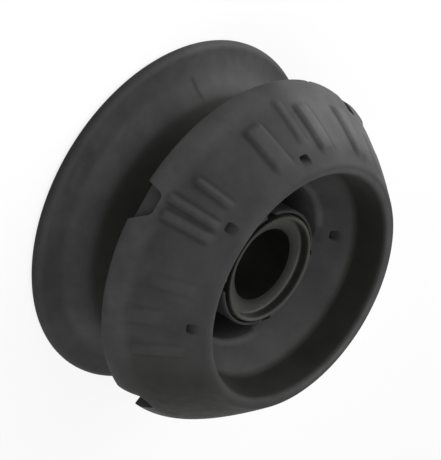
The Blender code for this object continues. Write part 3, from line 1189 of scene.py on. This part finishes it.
    def ring_cavity(self) -> bpy.types.Mesh:
        """Turned cutter of the space that the pressed ring fills, with a bond gap all round.

        Returns:
            The cutter's closed mesh.
        """
        angle = math.radians(self.cone_angle)
        along, across = math.cos(angle), math.sin(angle)
        half = self.ring_thickness / 2 + self.bond_gap
        depth = (self.ring_cover + self.ring_thickness / 2) / along
        bend = self.valley[0] + (self.ring_flat - self.valley[1] + depth) / math.tan(angle)
        foot = self.ring_inner - self.bond_gap * along
        level = self.cone_height(foot) - depth
        mitre = half * math.tan(angle / 2)
        outer = self.ring_outer + self.bond_gap
        section = [
            (bend - mitre, self.ring_flat + half),
            (outer, self.ring_flat + half),
            (outer, self.ring_flat - half),
            (bend + mitre, self.ring_flat - half),
            (foot + half * across, level - half * along),
            (foot - half * across, level + half * along),
        ]
        return turned_mesh("ring_cavity", section, [self.coarse_steps] * len(section))

    def cutters(self) -> bpy.types.Object:
        """One object with everything that is cut out of the moulding.

        Returns:
            The cutters' object, for the boolean alone.
        """
        bm = bmesh.new()
        self.cut_voids(bm)
        self.cut_collar_slots(bm)
        for side in Side:
            self.cut_pins(bm, side)
        self.cut_notches(bm)
        bmesh.ops.recalc_face_normals(bm, faces=bm.faces)
        cavity = self.ring_cavity()
        bm.from_mesh(cavity)
        bpy.data.meshes.remove(cavity)
        mesh = bpy.data.meshes.new("moulding_cutters")
        bm.to_mesh(mesh)
        bm.free()
        return add_object("moulding_cutters", mesh)

    def build(self, finish: MouldedRubber) -> bpy.types.Object:
        """Model the moulding, cut it, dress it and let it stand for its solid.

        Args:
            finish: Finish of the rubber.

        Returns:
            The finished piece.
        """
        piece = self.body()
        cutter = self.cutters()
        cut = piece.modifiers.new("cut", "BOOLEAN")
        cut.operation = "DIFFERENCE"
        cut.solver = "EXACT"
        cut.use_self = True
        cut.object = cutter
        graph = bpy.context.evaluated_depsgraph_get()
        mesh = bpy.data.meshes.new_from_object(piece.evaluated_get(graph))
        piece.modifiers.clear()
        piece.data = mesh
        bpy.data.objects.remove(cutter)
        shade(mesh, SHARP_ANGLE)
        # The rubber's zones of painted light and shade go into their own attribute
        lay_painted_tones(mesh, "bloom_and_painted_light", self.painted_tones)
        mesh.materials.clear()
        mesh.materials.append(finish.material())
        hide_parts(self.node)
        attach(piece, "root")
        log.info("%s: %d faces", piece.name, len(mesh.polygons))
        return piece


@dataclass(frozen=True)
class TurnedSleeve:
    """The steel sleeve that takes the damper rod, with a stepped bore and broken edges."""

    piece: str = "turned_sleeve"
    node: str = "inner_sleeve"
    slot: str = "sleeve_steel"
    steps: int = 256
    radius: float = 0.0169
    top: float = 0.0430
    bottom: float = 0.0030
    bore: float = 0.0113
    counterbore: float = 0.0156
    counterbore_depth: float = 0.0033
    edge: float = 0.0004
    rim_edge: float = 0.0008
    ledge_fillet: float = 0.0011
    painted_tones: tuple[PaintedTone, ...] = (
        # Painted shade in the bore, then on the ledge's two edges
        PaintedTone(0.0, 360.0, 0.0100, 0.0028, 0.0200, 0.0400, 0.2),
        PaintedTone(90.0, 130.0, 0.0119, 0.0009, 0.0390, 0.0050, 0.2),
        PaintedTone(90.0, 130.0, 0.0150, 0.0020, 0.0398, 0.0014, 0.65),
        # Painted shade on the wall of the counterbore and on one half of the rim, a painted
        # highlight on the other half, and painted shade on the outer edge of one
        PaintedTone(95.0, 100.0, 0.0158, 0.0004, 0.0415, 0.0024, 0.3),
        PaintedTone(-90.0, 110.0, 0.0162, 0.0009, 0.0430, 0.0012, 0.55),
        PaintedTone(90.0, 100.0, 0.0166, 0.0010, 0.0429, 0.0010, 1.1),
        PaintedTone(-90.0, 90.0, 0.0170, 0.0006, 0.0430, 0.0020, 0.2),
    )

    def section(self) -> list[Point]:
        """Section of the sleeve, from its rim down its outer side and up its bore.

        Returns:
            Points of the section, with its edges broken.
        """
        ledge = self.top - self.counterbore_depth
        corners = [
            (self.radius, self.top),
            (self.radius, self.bottom),
            (self.bore, self.bottom),
            (self.bore, ledge),
            (self.counterbore, ledge),
            (self.counterbore, self.top),
        ]
        edges = [self.rim_edge, self.edge, self.edge, self.edge, self.ledge_fillet, self.rim_edge]
        points: list[Point] = []
        for i, (corner, edge) in enumerate(zip(corners, edges)):
            before, after = corners[i - 1], corners[(i + 1) % len(corners)]
            points += rounded(before, corner, after, edge, 4)
        return points

    def build(self, finish: PhosphatedSteel) -> bpy.types.Object:
        """Turn the sleeve, dress it and let it stand for its solid.

        Args:
            finish: Finish of the steel.

        Returns:
            The finished piece.
        """
        section = self.section()
        mesh = turned_mesh(self.piece, section, [self.steps] * len(section))
        shade(mesh, SHARP_ANGLE)
        # The coat attribute holds painted shade and a painted highlight
        lay_painted_tones(mesh, "coat", self.painted_tones)
        mesh.materials.append(finish.material())
        piece = add_object(self.piece, mesh)
        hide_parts(self.node)
        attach(piece, "root")
        log.info("%s: %d faces", piece.name, len(mesh.polygons))
        return piece


@dataclass(frozen=True)
class HeadRing:
    """The pressed steel ring inside the head, which is the solid itself."""

    node: str = "head_ring"

    def dress(self, finish: BondedPressing) -> bpy.types.Object:
        """Give the ring its finish.

        Args:
            finish: Finish of the pressing.

        Returns:
            The ring's object.
        """
        ring = bpy.data.objects[self.node]
        material = finish.material()
        if ring.material_slots:
            for place in ring.material_slots:
                place.material = material
        else:
            ring.data.materials.append(material)
        log.info("%s dressed", ring.name)
        return ring


@dataclass(frozen=True)
class PhotoCamera:
    """Camera at the photograph's viewing angle, 441 by 460 pixels."""

    aim: tuple[float, float, float] = (-0.00243, 0.0, 0.02038)
    distance: float = 0.59103
    elevation: float = 35.760
    roll: float = 120.585
    focal_px: float = 2000.0
    height_px: float = 460.0
    sensor: float = 36.0

    def build(self) -> bpy.types.Object:
        """Place the camera and make it the scene's own.

        Returns:
            The camera.
        """
        data = bpy.data.cameras.new("photo_camera")
        data.sensor_fit = "VERTICAL"
        data.sensor_height = self.sensor
        data.lens = self.focal_px * self.sensor / self.height_px
        camera = add_object("photo_camera", data)
        e, roll = math.radians(self.elevation), math.radians(self.roll)
        back = Vector((0, -math.cos(e), math.sin(e)))
        right, up = Vector((1, 0, 0)), Vector((0, math.sin(e), math.cos(e)))
        across = right * math.cos(roll) + up * math.sin(roll)
        upward = up * math.cos(roll) - right * math.sin(roll)
        turn = Matrix((across, upward, back)).transposed().to_4x4()
        camera.matrix_world = Matrix.Translation(Vector(self.aim) + back * self.distance) @ turn
        bpy.context.scene.camera = camera
        return camera


class Softbox(NamedTuple):
    """A square soft light: name, azimuth and elevation of its place, size and power."""

    name: str
    azimuth: float
    elevation: float
    size: float
    power: float


@dataclass(frozen=True)
class Studio:
    """White table and background with soft lights."""

    centre: tuple[float, float, float] = (0.0, 0.0, 0.028)
    distance: float = 0.60
    floor_size: float = 6.0
    floor_drop: float = 0.0002
    floor_colour: str = "#f4f4f4"
    floor_bounce: str = "#6e6e6e"
    floor_glow: float = 0.85
    ambient: float = 0.16
    lights: tuple[Softbox, ...] = (
        Softbox("key", 166.0, 18.0, 0.5, 3.6),
        Softbox("top", -60.0, 65.0, 0.5, 2.2),
        Softbox("rim", -150.0, 38.0, 0.5, 1.5),
        Softbox("front", -30.0, 10.0, 0.5, 0.9),
    )

    def build(self) -> None:
        """Make the world, the floor and the lights."""
        scene = bpy.context.scene
        scene.view_settings.view_transform = "Standard"
        self.build_world()
        self.build_floor()
        for light in self.lights:
            self.build_light(light)

    def shown(self, tree: bpy.types.NodeTree) -> bpy.types.NodeSocket:
        """Share that is 1 for the rays that show the background.

        Args:
            tree: Node tree of the world or of the floor's material.

        Returns:
            Output that is 1 for camera, glossy and transmission rays, and otherwise 0.
        """
        path = add_node(tree, "ShaderNodeLightPath")
        share = path.outputs["Is Camera Ray"]
        for name in ("Is Glossy Ray", "Is Transmission Ray"):
            both = {0: share, 1: path.outputs[name]}
            share = add_node(tree, "ShaderNodeMath", both, operation="MAXIMUM").outputs["Value"]
        return share

    def build_world(self) -> None:
        """Light the object evenly and show white behind it."""
        world = bpy.data.worlds.new("studio")
        world.use_nodes = True
        bpy.context.scene.world = world
        tree = world.node_tree
        tree.nodes.clear()
        strength = add_node(
            tree,
            "ShaderNodeMapRange",
            links={"Value": self.shown(tree)},
            values={"To Min": self.ambient, "To Max": 1.0},
        )
        background = add_node(
            tree,
            "ShaderNodeBackground",
            links={"Strength": strength.outputs["Result"]},
            values={"Color": (1, 1, 1, 1)},
        )
        add_node(tree, "ShaderNodeOutputWorld", links={"Surface": background.outputs["Background"]})

    def build_floor(self) -> None:
        """Lay a floor that looks white, keeps a faint shadow and throws little light back."""
        bm = bmesh.new()
        bmesh.ops.create_grid(bm, x_segments=1, y_segments=1, size=self.floor_size / 2)
        mesh = bpy.data.meshes.new("floor")
        bm.to_mesh(mesh)
        bm.free()
        floor = add_object("floor", mesh)
        floor.location.z = -self.floor_drop
        material, tree, shader = new_material("white_table")
        shader.inputs["Roughness"].default_value = 0.9
        shown = self.shown(tree)
        colour = add_node(
            tree,
            "ShaderNodeMix",
            links={"Factor": shown},
            values={COLOUR_A: linear(self.floor_bounce), COLOUR_B: linear(self.floor_colour)},
            data_type="RGBA",
        )
        tree.links.new(colour.outputs[MIXED], shader.inputs["Base Color"])
        glow = add_node(tree, "ShaderNodeEmission", values={"Color": (1, 1, 1, 1), "Strength": 1.0})
        share = add_node(
            tree,
            "ShaderNodeMath",
            links={0: shown},
            values={1: self.floor_glow},
            operation="MULTIPLY",
        )
        mix = add_node(
            tree,
            "ShaderNodeMixShader",
            links={
                "Fac": share.outputs["Value"],
                SHADER_A: shader.outputs["BSDF"],
                SHADER_B: glow.outputs["Emission"],
            },
        )
        output = next(n for n in tree.nodes if n.bl_idname == "ShaderNodeOutputMaterial")
        tree.links.new(mix.outputs["Shader"], output.inputs["Surface"])
        mesh.materials.append(material)

    def build_light(self, light: Softbox) -> None:
        """Hang one soft light and turn it to the object.

        Args:
            light: Place, size and power of the light.
        """
        data = bpy.data.lights.new(light.name, "AREA")
        data.shape = "SQUARE"
        data.size = light.size
        data.energy = light.power
        lamp = add_object(light.name, data)
        a, e = math.radians(light.azimuth), math.radians(light.elevation)
        away = Vector((math.cos(a) * math.cos(e), math.sin(a) * math.cos(e), math.sin(e)))
        lamp.location = Vector(self.centre) + away * self.distance
        lamp.rotation_mode = "QUATERNION"
        lamp.rotation_quaternion = (-away).to_track_quat("-Z", "Y")


def main() -> None:
    """Build and dress the strut mount, then its studio and camera."""
    logging.basicConfig(level=logging.INFO, format="%(name)s: %(message)s")
    PhotoCamera().build()
    RubberMoulding().build(MouldedRubber())
    TurnedSleeve().build(PhosphatedSteel())
    HeadRing().dress(BondedPressing())
    Studio().build()


if __name__ == "__main__":
    main()
